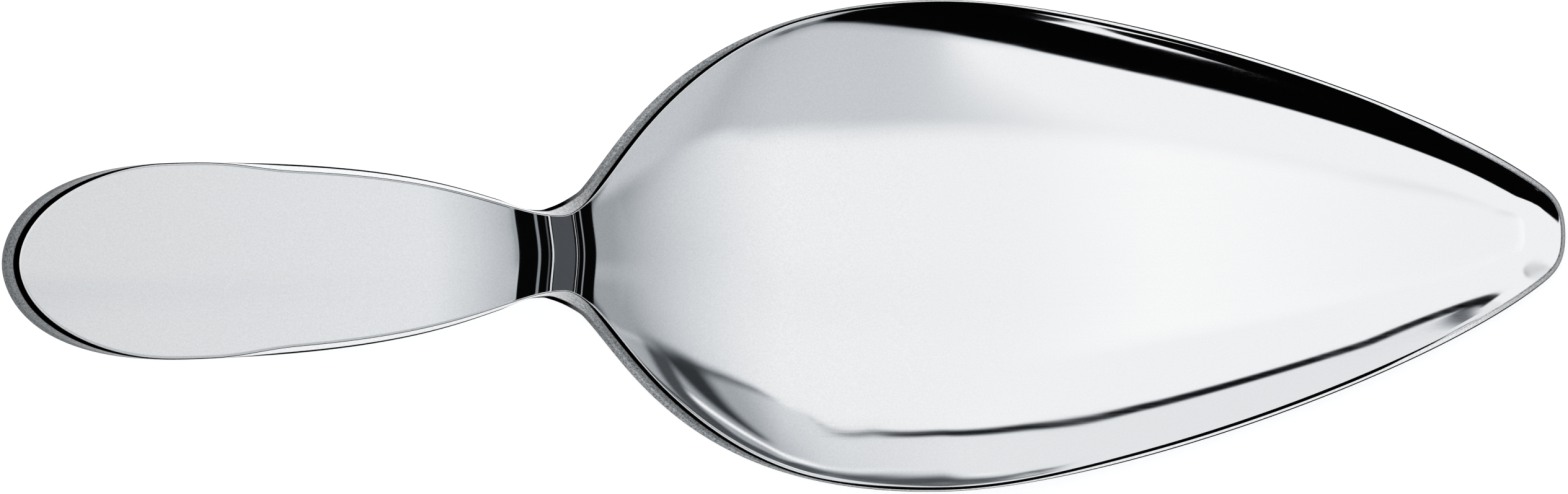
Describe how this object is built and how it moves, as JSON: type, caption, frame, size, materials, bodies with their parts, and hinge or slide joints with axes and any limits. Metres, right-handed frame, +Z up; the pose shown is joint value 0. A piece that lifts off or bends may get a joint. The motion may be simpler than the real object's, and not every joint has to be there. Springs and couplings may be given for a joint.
{
  "type": "cake server",
  "caption": "Polished steel cake server in one piece: raised drop-shaped handle, cranked neck and broad leaf-shaped blade with a flat floor and upturned rim for lifting slices.",
  "frame": {"origin": "middle of the overall box in plan, on the flat underside of the blade", "axes": "+X along the server from the handle end to the tip, +Y to the left, +Z up from the face it rests on"},
  "size_m": [0.227, 0.0692, 0.0212],
  "materials": {
    "polished_steel": "mirror-polished stainless steel"
  },
  "bodies": {
    "root": {"cake_server": "polished_steel"}
  },
  "joints": []
}
